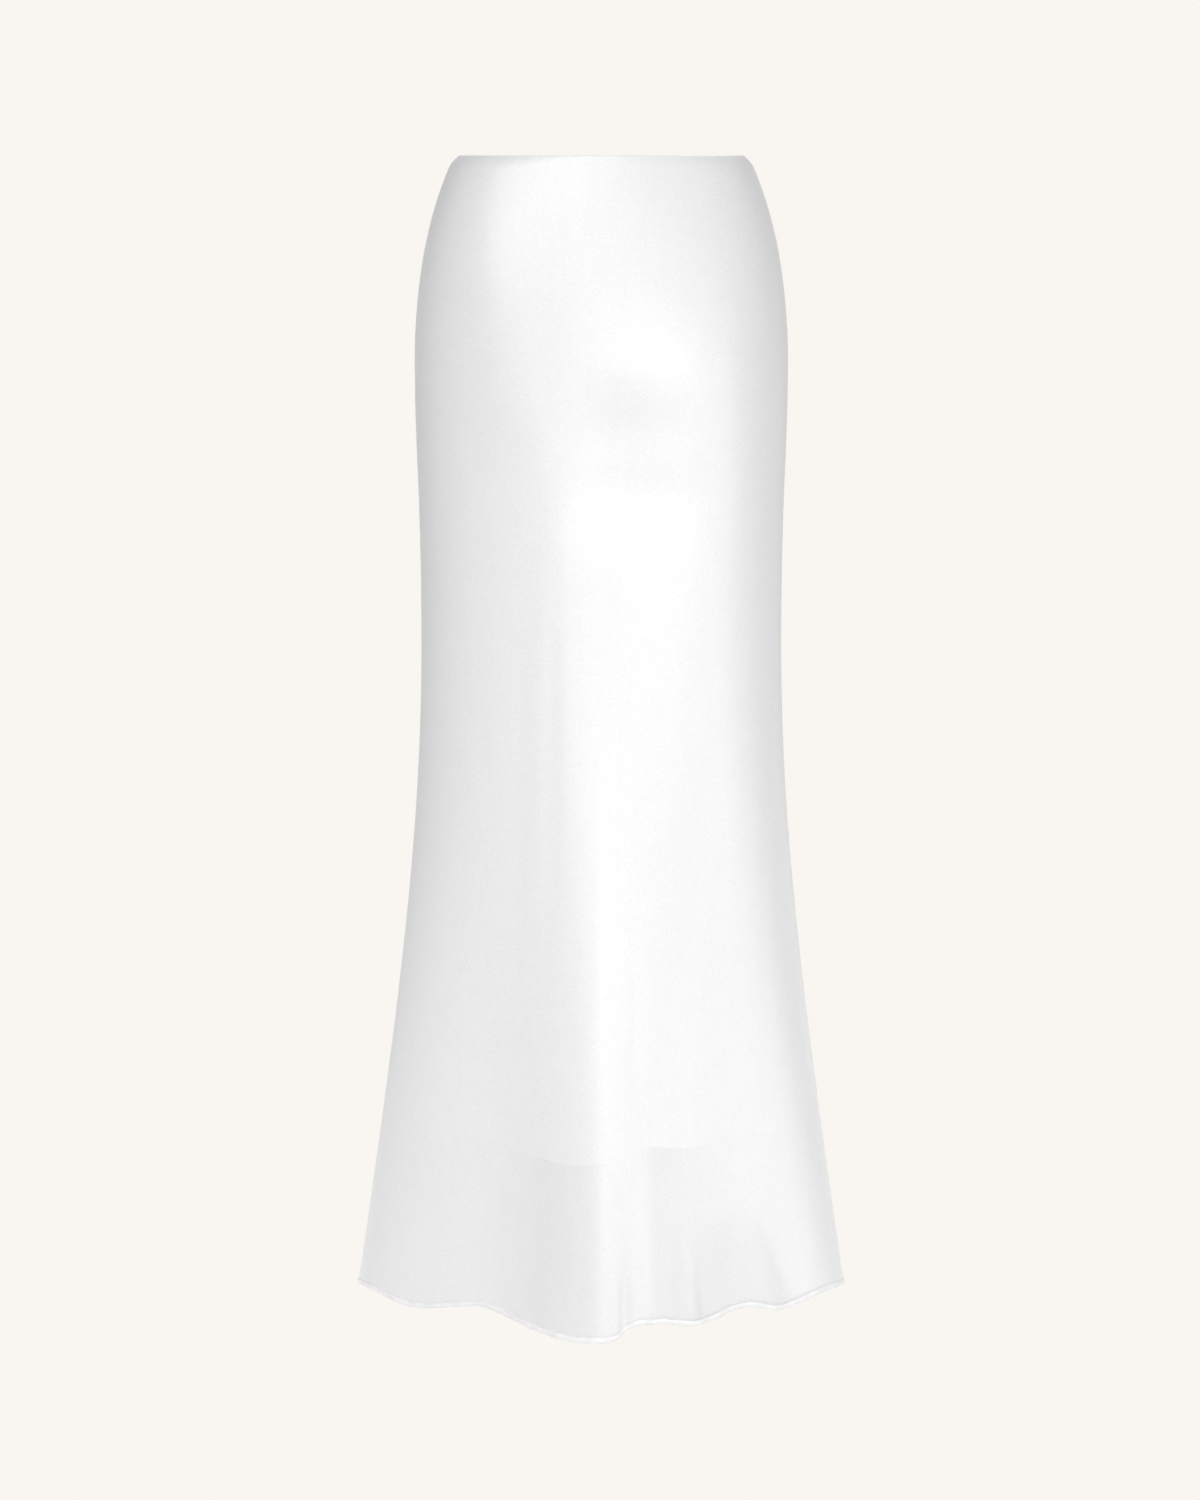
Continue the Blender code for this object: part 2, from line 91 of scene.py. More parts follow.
SECTIONS = (
    Section(0.000, 0.1310, 0.0900, 0.0820, 2.20),
    Section(0.017, 0.1384, 0.0925, 0.0885, 2.20),
    Section(0.041, 0.1471, 0.0960, 0.0970, 2.20),
    Section(0.075, 0.1562, 0.1000, 0.1070, 2.20),
    Section(0.119, 0.1634, 0.1040, 0.1165, 2.20),
    Section(0.164, 0.1669, 0.1060, 0.1215, 2.20),
    Section(0.208, 0.1672, 0.1058, 0.1220, 2.20),
    Section(0.253, 0.1662, 0.1038, 0.1195, 2.20),
    Section(0.298, 0.1646, 0.1020, 0.1160, 2.20),
    Section(0.389, 0.1629, 0.1010, 0.1085, 2.20),
    Section(0.480, 0.1636, 0.1008, 0.1045, 2.15),
    Section(0.572, 0.1679, 0.1010, 0.1045, 2.05),
    Section(0.664, 0.1757, 0.1015, 0.1070, 1.88),
    Section(0.758, 0.1864, 0.1030, 0.1110, 1.72),
    Section(0.852, 0.1989, 0.1060, 0.1160, 1.60),
    Section(0.946, 0.2124, 0.1100, 0.1220, 1.51),
    Section(1.035, 0.2259, 0.1140, 0.1280, 1.45),
)

FOLDS = (
    Fold(angle=-73, lean=0, near=14, far=16, start=0.62, rise=0.0, drop=0.0080),
    Fold(angle=-50, lean=-4, near=12, far=12, start=0.60, rise=0.0, drop=-0.0026),
    Fold(angle=-6, lean=-5, near=52, far=32, start=0.34, rise=0.0150, drop=0.0150),
    Fold(angle=10, lean=0, near=66, far=64, start=0.34, rise=0.0170, drop=0.0),
    Fold(angle=5, lean=0, near=8, far=6, start=0.60, rise=0.0005, drop=0.0008),
    Fold(angle=14, lean=0, near=9, far=8, start=0.50, rise=-0.0007, drop=-0.0066),
    Fold(angle=22, lean=-1, near=7, far=8, start=0.60, rise=0.0006, drop=-0.0036),
    Fold(angle=30, lean=-2, near=9, far=9, start=0.60, rise=-0.0006, drop=-0.0018),
    Fold(angle=40, lean=-2, near=46, far=21, start=0.46, rise=0.0035, drop=0.0084),
    Fold(angle=62, lean=0, near=8, far=10, start=0.60, rise=0.0, drop=-0.0038),
    Fold(angle=70, lean=0, near=18, far=14, start=0.66, rise=0.0, drop=0.0088),
    Fold(angle=116, lean=-3, near=20, far=18, start=0.70, rise=0.0100, drop=0.0040),
    Fold(angle=146, lean=5, near=22, far=20, start=0.50, rise=0.0240, drop=0.0080),
    Fold(angle=177, lean=0, near=18, far=22, start=0.60, rise=0.0170, drop=0.0050),
    Fold(angle=-144, lean=-6, near=22, far=22, start=0.46, rise=0.0270, drop=0.0090),
    Fold(angle=-112, lean=2, near=18, far=18, start=0.72, rise=0.0090, drop=0.0030),
)

CREASES = (
    Crease(angle=-24, lean=28, width=18, top=0.10, bottom=0.90, rise=0.0020),
    Crease(angle=-42, lean=10, width=12, top=0.02, bottom=0.30, rise=0.0028),
    Crease(angle=15, lean=4, width=28, top=0.17, bottom=0.36, rise=-0.0044),
    Crease(angle=28, lean=0, width=22, top=0.08, bottom=0.355, rise=0.0022),
    Crease(angle=-1, lean=3, width=3, top=0.46, bottom=0.92, rise=0.0004),
    Crease(angle=7, lean=2, width=2.6, top=0.52, bottom=0.99, rise=-0.0003),
    Crease(angle=15, lean=-2, width=3, top=0.50, bottom=0.96, rise=-0.0004),
    Crease(angle=9, lean=1, width=2.2, top=0.93, bottom=1.18, rise=-0.0052),
    Crease(angle=14.5, lean=1, width=3.0, top=0.92, bottom=1.18, rise=0.0014),
    Crease(angle=36, lean=3, width=4.5, top=0.92, bottom=1.20, rise=0.0034),
    Crease(angle=66, lean=6, width=6, top=0.90, bottom=1.20, rise=0.0040),
    Crease(angle=-38, lean=-6, width=5, top=0.24, bottom=0.86, rise=-0.0008),
    Crease(angle=-24, lean=-4, width=4, top=0.30, bottom=0.80, rise=-0.0006),
    Crease(angle=52, lean=4, width=5, top=0.40, bottom=0.92, rise=-0.0007),
    Crease(angle=104, lean=3, width=5, top=0.30, bottom=0.84, rise=-0.0008),
    Crease(angle=131, lean=-5, width=6, top=0.26, bottom=0.74, rise=-0.0010),
    Crease(angle=163, lean=4, width=5, top=0.24, bottom=0.80, rise=-0.0008),
    Crease(angle=-160, lean=-5, width=6, top=0.26, bottom=0.82, rise=-0.0010),
    Crease(angle=-127, lean=4, width=5, top=0.34, bottom=0.86, rise=-0.0008),
    Crease(angle=-98, lean=-3, width=5, top=0.36, bottom=0.80, rise=-0.0007),
)


def smooth(x: np.ndarray) -> np.ndarray:
    """0 below 0, 1 above 1, and the cubic 3x^2 - 2x^3 between.

    Args:
        x: Any values.

    Returns:
        The eased values.
    """
    x = np.clip(x, 0, 1)
    return x * x * (3 - 2 * x)


@dataclass(frozen=True)
class WornSurface:
    """The outer face of the worn skirt, as a function of angle and depth."""

    length: float = 1.035
    fold_growth: float = 1.5
    lining_squareness: float = 1.9
    roll_depth: float = 11 * MM
    roll_in_side: float = 4.6 * MM
    roll_in_front: float = 0.3 * MM
    seam_sink: float = 0.55 * MM
    seam_width: float = 1.5 * MM

    def along_sections(self, column: str, depth: np.ndarray) -> np.ndarray:
        """One column of SECTIONS at any depth, by cubic pieces with the rows' mean slopes.

        Args:
            column: The name of the column.
            depth: Depths below the waist edge.

        Returns:
            The column's values at those depths.
        """
        depths = np.array([s.depth for s in SECTIONS])
        values = np.array([getattr(s, column) for s in SECTIONS])
        slopes = np.gradient(values, depths)
        i = np.clip(np.searchsorted(depths, depth) - 1, 0, len(depths) - 2)
        span = depths[i + 1] - depths[i]
        t = (depth - depths[i]) / span
        return (
            values[i] * (1 + 2 * t) * (1 - t) ** 2
            + values[i + 1] * t * t * (3 - 2 * t)
            + slopes[i] * span * t * (1 - t) ** 2
            - slopes[i + 1] * span * t * t * (1 - t)
        )

    def along_folds(self, column: str, angle: np.ndarray, depth: np.ndarray) -> np.ndarray:
        """One column of FOLDS anywhere: a sum of raised cosines, each wider on one side of its crest.

        Args:
            column: The name of the column, rise or drop.
            angle: Angles from the front centre.
            depth: Depths below the waist edge.

        Returns:
            The folds' rise or drop there.
        """
        total = np.zeros(np.broadcast(angle, depth).shape)
        for fold in FOLDS:
            grown = smooth((depth - fold.start) / (self.length - fold.start)) ** self.fold_growth
            crest = math.radians(fold.angle) + math.radians(fold.lean) * (1 - grown)
            off = (angle - crest + math.pi) % (2 * math.pi) - math.pi
            across = np.where(off < 0, -off / math.radians(fold.near), off / math.radians(fold.far))
            bump = 0.5 + 0.5 * np.cos(math.pi * np.clip(across, 0, 1))
            total = total + getattr(fold, column) * bump * grown
        return total

    def creases(self, angle: np.ndarray, depth: np.ndarray) -> np.ndarray:
        """How far the small creases stand out: bell curves across, faded in and out along their length.

        Args:
            angle: Angles from the front centre.
            depth: Depths below the waist edge.

        Returns:
            The height of the creases.
        """
        total = np.zeros(np.broadcast(angle, depth).shape)
        for crease in CREASES:
            share = (depth - crease.top) / (crease.bottom - crease.top)
            middle = math.radians(crease.angle) + math.radians(crease.lean) * (share - 0.5)
            off = (angle - middle + math.pi) % (2 * math.pi) - math.pi
            fade = smooth(share * 2.5) * smooth((1 - share) * 2.5)
            total = total + crease.rise * np.exp(-((off / math.radians(crease.width)) ** 2)) * fade
        return total

    def radius(self, angle: np.ndarray, depth: np.ndarray, folded: bool) -> np.ndarray:
        """Distance from the axis: (|sin/a|^n + |cos/b|^n)^(-1/n), and the folds and creases on it.

        Args:
            angle: Angles from the front centre.
            depth: Depths below the waist edge.
            folded: False for the rounder surface, with no folds, that the lining hangs in.

        Returns:
            The distances.
        """
        half_depth = np.where(
            np.cos(angle) > 0, self.along_sections("front", depth), self.along_sections("back", depth)
        )
        power = np.maximum(
            self.along_sections("squareness", depth), 0 if folded else self.lining_squareness
        )
        across = np.abs(np.sin(angle) / self.along_sections("half_width", depth)) ** power
        along = np.abs(np.cos(angle) / half_depth) ** power
        radius = (across + along) ** (-1 / power)
        if not folded:
            return radius
        return radius + self.along_folds("rise", angle, depth) + self.creases(angle, depth)

    def plan(self, angle: np.ndarray, depth: np.ndarray, folded: bool) -> np.ndarray:
        """x and y of the outer face, from polar to right-angled coordinates.

        Args:
            angle: Angles from the front centre.
            depth: Depths below the waist edge.
            folded: As in radius.

        Returns:
            An array whose last axis is x, y.
        """
        radius = self.radius(angle, depth, folded)
        return np.stack([radius * np.sin(angle), -radius * np.cos(angle)], axis=-1)

    def point(
        self, angle: np.ndarray, depth: np.ndarray, inset: np.ndarray, folded: bool = True
    ) -> np.ndarray:
        """The plan point moved in, square to the plan curve, and dropped to its depth.

        Args:
            angle: Angles from the front centre.
            depth: Depths below the waist edge.
            inset: Distances inwards from the outer face.
            folded: As in radius.

        Returns:
            An array whose last axis is x, y, z.
        """
        step = 1e-5
        across = self.plan(angle + step, depth, folded) - self.plan(angle - step, depth, folded)
        outward = np.stack([across[..., 1], -across[..., 0]], axis=-1)
        outward /= np.linalg.norm(outward, axis=-1, keepdims=True)
        most = self.roll_in_front + (self.roll_in_side - self.roll_in_front) * np.sin(angle) ** 2
        rolled = most * np.clip(1 - depth / self.roll_depth, 0, 1) ** 2
        plan = self.plan(angle, depth, folded) - (inset + rolled)[..., None] * outward
        dip = self.along_folds("drop", angle, depth) if folded else 0
        return np.concatenate([plan, -(depth + dip)[..., None]], axis=-1)

    def seam_hollow(self, from_seam: np.ndarray, depth: np.ndarray) -> np.ndarray:
        """How far the cloth is drawn in beside a seam: a bell curve across, faded out at both hems.

        Args:
            from_seam: Distances from the seam.
            depth: Depths below the waist edge.

        Returns:
            The extra inset.
        """
        across = np.exp(-((from_seam / self.seam_width) ** 2))
        below_waist = smooth((depth - 4 * MM) / (6 * MM))
        at_hem = smooth((16 * MM - (self.length - depth)) / (10 * MM))
        return self.seam_sink * across * below_waist * (1 - 0.8 * at_hem)


# Meshes


def link_mesh(name: str, points: np.ndarray, quads: np.ndarray) -> bpy.types.Object:
    """A new mesh object from arrays of points and four-cornered faces.

    Args:
        name: The piece's name.
        points: An array of shape (n, 3).
        quads: An array of shape (m, 4) of point numbers, anticlockwise from outside.

    Returns:
        The object, at the origin, shaded smooth but for its cut edges.
    """
    mesh = bpy.data.meshes.new(name)
    mesh.vertices.add(len(points))
    mesh.vertices.foreach_set("co", points.astype(np.float32).ravel())
    mesh.loops.add(quads.size)
    mesh.loops.foreach_set("vertex_index", quads.astype(np.int32).ravel())
    mesh.polygons.add(len(quads))
    mesh.polygons.foreach_set("loop_start", np.arange(0, quads.size, 4, dtype=np.int32))
    mesh.update(calc_edges=True)
    mesh.validate()
    mesh.shade_smooth()
    mesh.set_sharp_from_angle(angle=math.radians(50))
    piece = bpy.data.objects.new(name, mesh)
    bpy.context.scene.collection.objects.link(piece)
    return piece


def add_attribute(piece: bpy.types.Object, name: str, values: np.ndarray) -> None:
    """Stores a vector on each point of a mesh, for its material to read.

    Args:
        piece: The mesh object.
        name: The attribute's name.
        values: An array of shape (n, 3).
    """
    attribute = piece.data.attributes.new(name, "FLOAT_VECTOR", "POINT")
    attribute.data.foreach_set("vector", values.astype(np.float32).ravel())


def grid_quads(a: np.ndarray, b: np.ndarray) -> np.ndarray:
    """The faces between matching rows of point numbers, a above or outside b.

    Args:
        a: Point numbers, whose last axis runs towards the wearer's left.
        b: The numbers below or inside them.

    Returns:
        An array of shape (m, 4).
    """
    return np.stack([a[..., :-1], b[..., :-1], b[..., 1:], a[..., 1:]], axis=-1).reshape(-1, 4)


def closed_wall(name: str, outer: np.ndarray, inner: np.ndarray) -> bpy.types.Object:
    """A wall between matching grids of points on its outer and inner faces, closed at its four edges.

    Args:
        name: The piece's name.
        outer: Points of shape (stations, columns, 3), stations running down the piece.
        inner: The matching points of the inner face.

    Returns:
        The mesh object.
    """
    points = np.concatenate([outer.reshape(-1, 3), inner.reshape(-1, 3)])
    out, into = np.arange(len(points)).reshape(2, *outer.shape[:2])
    faces = [
        grid_quads(out[:-1], out[1:]),
        grid_quads(into[1:], into[:-1]),
        grid_quads(into[0], out[0]),
        grid_quads(out[-1], into[-1]),
        grid_quads(out[:, 0], into[:, 0]),
        grid_quads(into[:, -1], out[:, -1]),
    ]
    return link_mesh(name, points, np.concatenate(faces))


class Stations(NamedTuple):
    """Rows along a wall's cut edge, from top to hem, with the place of each one on both faces."""

    outer_inset: np.ndarray
    outer_depth: np.ndarray
    inner_inset: np.ndarray
    inner_depth: np.ndarray

    @staticmethod
    def joined(parts: "list[Stations]") -> "Stations":
        """The parts' rows, one after another."""
        return Stations(*(np.concatenate(column) for column in zip(*parts)))

    @staticmethod
    def level(depth: np.ndarray, outer: np.ndarray, inner: np.ndarray) -> "Stations":
        """Rows whose two points lie at the same depth."""
        depth = np.asarray(depth, dtype=float)
        return Stations(outer + 0 * depth, depth, inner + 0 * depth, depth)


# Shader maths


class Shade:
    """A shader socket that takes part in arithmetic, adding a Math node for each step."""

    def __init__(self, nodes: "NodeSet", socket: bpy.types.NodeSocket) -> None:
        """Wraps a socket of one of that material's nodes."""
        self.nodes = nodes
        self.socket = socket

    def _math(self, operation: str, *values: Any) -> "Shade":
        """A Math node of that operation on those values."""
        return self.nodes.add("ShaderNodeMath", {"operation": operation}, dict(enumerate(values)))

    def __add__(self, other: Any) -> "Shade":
        """Sum."""
        return self._math("ADD", self, other)

    __radd__ = __add__

    def __sub__(self, other: Any) -> "Shade":
        """Difference."""
        return self._math("SUBTRACT", self, other)

    def __rsub__(self, other: Any) -> "Shade":
        """Difference from a number."""
        return self._math("SUBTRACT", other, self)

    def __mul__(self, other: Any) -> "Shade":
        """Product."""
        return self._math("MULTIPLY", self, other)

    __rmul__ = __mul__

    def wave(self) -> "Shade":
        """Sine."""
        return self._math("SINE", self)

    def step(self, low: float, high: float) -> "Shade":
        """0 at low and 1 at high, eased between them. High may be the lower number.

        Args:
            low: The value that gives 0.
            high: The value that gives 1.

        Returns:
            The eased value.
        """
        if low > high:
            return 1 - self.step(high, low)
        settings = {"interpolation_type": "SMOOTHSTEP"}
        return self.nodes.add("ShaderNodeMapRange", settings, {"Value": self, 1: low, 2: high})


class NodeSet:
    """The nodes of one material, built round its Principled shader."""

    def __init__(self, name: str) -> None:
        """Starts a material of that name."""
        self.material = bpy.data.materials.new(name)
        self.material.use_nodes = True
        self.tree = self.material.node_tree
        self.shader = self.tree.nodes["Principled BSDF"]

    def add(self, kind: str, settings: dict, sockets: dict, output: "int | str" = 0) -> Shade:
        """Any node.

        Args:
            kind: The node's type.
            settings: Its own settings, set first.
            sockets: Values or links of its sockets, by name or number.
            output: The output that is wanted.

        Returns:
            That output.
        """
        node = self.tree.nodes.new(kind)
        for name, value in settings.items():
            setattr(node, name, value)
        for name, value in sockets.items():
            self.feed(node.inputs[name], value)
        return Shade(self, node.outputs[output])

    def feed(self, socket: bpy.types.NodeSocket, value: Any) -> None:
        """Links or sets one socket."""
        if isinstance(value, Shade):
            self.tree.links.new(value.socket, socket)
        else:
            socket.default_value = value

    def shade(self, **values: Any) -> None:
        """Sets or links the Principled shader's sockets, named with _ for a space."""
        for name, value in values.items():
            self.feed(self.shader.inputs[name.replace("_", " ")], value)

    def object_coordinates(self, scale: tuple[float, float, float] = (1, 1, 1)) -> Shade:
        """The place on the object, scaled by a factor along each axis."""
        where = self.add("ShaderNodeTexCoord", {}, {}, "Object")
        return self.add("ShaderNodeMapping", {}, {"Vector": where, "Scale": scale})

    def attribute(self, name: str) -> tuple[Shade, Shade, Shade]:
        """The three parts of a vector stored on the mesh."""
        stored = self.add("ShaderNodeAttribute", {"attribute_name": name}, {}, "Vector")
        parts = self.add("ShaderNodeSeparateXYZ", {}, {0: stored})
        outputs = parts.socket.node.outputs
        return tuple(Shade(self, outputs[i]) for i in range(3))

    def noise(self, where: Shade, scale: float, detail: float = 2.0) -> Shade:
        """Soft noise, about 0.5 on average."""
        sockets = {"Vector": where, "Scale": scale, "Detail": detail}
        return self.add("ShaderNodeTexNoise", {}, sockets, 0)

    def mix(self, factor: Any, first: Any, second: Any, blend: str = "MIX") -> Shade:
        """A colour between two by a factor, or the first one multiplied by the second."""
        settings = {"data_type": "RGBA", "blend_type": blend}
        return self.add("ShaderNodeMix", settings, {0: factor, 6: first, 7: second}, 2)

    def bump(self, height: Shade, distance: float, strength: float = 1.0) -> Shade:
        """A normal from a height between 0 and 1."""
        sockets = {"Height": height, "Distance": distance, "Strength": strength}
        return self.add("ShaderNodeBump", {}, sockets)


# Finishes


@dataclass(frozen=True)
class Satin:
    """White bias-cut satin. It reads the attribute place: angle, depth and height above the hem."""

    colour: tuple[float, float, float, float] = (0.855, 0.855, 0.857, 1)
    # Painted shade: the greyer colour where the shaded inside shows through satin that no lining backs
    unlined_shade: tuple[float, float, float, float] = (0.790, 0.790, 0.792, 1)
    hem: tuple[float, float, float, float] = (0.91, 0.91, 0.912, 1)
    hem_shade: tuple[float, float, float, float] = (0.86, 0.86, 0.862, 1)
    dull: tuple[float, float, float, float] = (0.905, 0.905, 0.905, 1)
    roughness: float = 0.36
    lining_hem: float = 0.874
    hem_height: float = 5.2 * MM
    # The least painted shade, given all round below the lining's hem
    least_painted_shade: float = 0.12

    def make(self) -> bpy.types.Material:
        """The material: painted shade below the lining's hem, where the shaded inside shows through the
        single layer of satin, and whiter along the hem.
        """
        n = NodeSet("satin")
        angle, depth, up = n.attribute("place")
        where = n.object_coordinates()
        stretched = n.object_coordinates((1, 1, 0.12))
        drape = n.noise(stretched, 9.0, 2.0)
        # Painted shade: these masks darken the satin under the lining's hem, most in two patches at the
        # front
        left_shade_patch = angle.step(-0.60, -0.36) * angle.step(0.02, -0.05)
        right_edge = angle - (depth - self.lining_hem) * 2.2
        faded = angle.step(0.45, 0.95) * depth.step(0.975, 0.925)
        right_shade_patch = angle.step(0.30, 0.40) * right_edge.step(1.00, 0.92) * (1 - faded)
        shade_patch = (left_shade_patch * 0.6 + right_shade_patch) * (1 - self.least_painted_shade) + self.least_painted_shade
        edge = self.lining_hem + angle.step(0.3, -0.3) * 0.004
        bare = (depth - edge).step(0, 0.0015) * up.step(self.hem_height - MM, self.hem_height) * shade_patch
        # The painted shade mixed into the satin's colour
        body = n.mix(bare, self.colour, self.unlined_shade)
        folded = up.step(self.hem_height, self.hem_height - 0.6 * MM)
        grain = n.noise(where, 900.0, 3.0)
        slub = n.noise(n.object_coordinates((1, 1, 0.35)), 260.0, 3.0)
        streaks = n.noise(n.object_coordinates((1, 1, 0.05)), 70.0, 2.0)
        mottle = n.noise(n.object_coordinates((1, 1, 0.5)), 75.0, 2.0)
        rolled = n.mix(mottle.step(0.40, 0.62), self.hem, self.hem_shade)
        uneven = grain + (mottle - 0.5) * 0.12
        tinted = n.mix(uneven.step(0.25, 0.75), n.mix(folded, body, rolled), self.dull, "MULTIPLY")
        n.shade(
            Base_Color=tinted,
            Roughness=self.roughness + (drape - 0.5) * 0.10 + (grain - 0.5) * 0.12,
            Specular_IOR_Level=1.0,
            Sheen_Weight=0.25,
            Sheen_Roughness=0.4,
            Normal=n.bump(grain * 0.06 + slub * 0.04 + streaks * 0.22, MM),
        )
        return n.material


@dataclass(frozen=True)
class LiningCloth:
    """Matt, plain-woven lining."""

    colour: tuple[float, float, float, float] = (0.90, 0.90, 0.895, 1)
    pitch: float = 0.9 * MM

    def make(self) -> bpy.types.Material:
        """The material: a square weave of two waves, and a soft mottle."""
        n = NodeSet("lining")
        angle, depth, _ = n.attribute("place")
        turn = 2 * math.pi / self.pitch
        weave = (angle * (0.15 * turn)).wave() * (depth * turn).wave()
        mottle = n.noise(n.object_coordinates(), 40.0)
        dark = tuple(c * 0.95 for c in self.colour[:3]) + (1,)
        n.shade(
            Base_Color=n.mix(mottle.step(0.35, 0.7), self.colour, dark),
            Roughness=0.62,
            Sheen_Weight=0.1,
            Normal=n.bump(weave * 0.5 + 0.5, 0.08 * MM),
        )
        return n.material


@dataclass(frozen=True)
class ZipTape:
    """Ribbed woven tape."""

    colour: tuple[float, float, float, float] = (0.82, 0.82, 0.81, 1)
    rib: float = 0.8 * MM

    def make(self) -> bpy.types.Material:
        """The material: ribs across, worked out from the height."""
        n = NodeSet("zip_tape")
        parts = n.add("ShaderNodeSeparateXYZ", {}, {0: n.object_coordinates()}).socket.node.outputs
        height, across = Shade(n, parts[2]), Shade(n, parts[0])
        ribs = (height * (2 * math.pi / self.rib)).wave() * (across * (2 * math.pi / self.rib)).wave()
        n.shade(Base_Color=self.colour, Roughness=0.7, Normal=n.bump(ribs * 0.5 + 0.5, 0.1 * MM))
        return n.material


@dataclass(frozen=True)
class LacqueredMetal:
    """White lacquer on the zip's metal, a little worn."""

    colour: tuple[float, float, float, float] = (0.84, 0.84, 0.835, 1)

    def make(self) -> bpy.types.Material:
        """The material: faint orange peel, and duller where it is handled."""
        n = NodeSet("zip_metal")
        where = n.object_coordinates()
        peel = n.noise(where, 700.0)
        worn = n.noise(where, 180.0)
        bare = (0.70, 0.70, 0.71, 1)
        n.shade(
            Base_Color=n.mix(worn.step(0.62, 0.75) * 0.5, self.colour, bare),
            Roughness=0.28 + (worn - 0.5) * 0.2,
            Coat_Weight=0.3,
            Normal=n.bump(peel, 0.02 * MM),
        )
        return n.material


@dataclass(frozen=True)
class SewingThread:
    """White polyester thread."""

    colour: tuple[float, float, float, float] = (0.88, 0.88, 0.885, 1)

    def make(self) -> bpy.types.Material:
        """The material: a fine twist."""
        n = NodeSet("thread")
        twist = n.noise(n.object_coordinates(), 2500.0)
        n.shade(
            Base_Color=n.mix(twist, self.colour, (0.80, 0.80, 0.81, 1)),
            Roughness=0.5,
            Normal=n.bump(twist, 0.05 * MM),
        )
        return n.material


# The pieces


class Side(Enum):
    """Which part of the way round a piece covers, as its two seams' angles."""

    FRONT = (-math.pi / 2, math.pi / 2)
    BACK_LEFT = (math.pi / 2, math.pi)
    BACK_RIGHT = (-math.pi, -math.pi / 2)


def at_centre_back(seam: float) -> bool:
    """Whether a seam's angle is that of the centre back, where the zip is."""
    return abs(seam) > math.pi - 0.1


@dataclass(frozen=True)
class ConcealedZipSizes:
    """Sizes that the zip shares with the back seam."""

    length: float = 0.200
    notch: tuple[float, float, float, float] = (9.2 * MM, 10.7 * MM, 16.3 * MM, 17.8 * MM)
    notch_half: float = 0.85 * MM


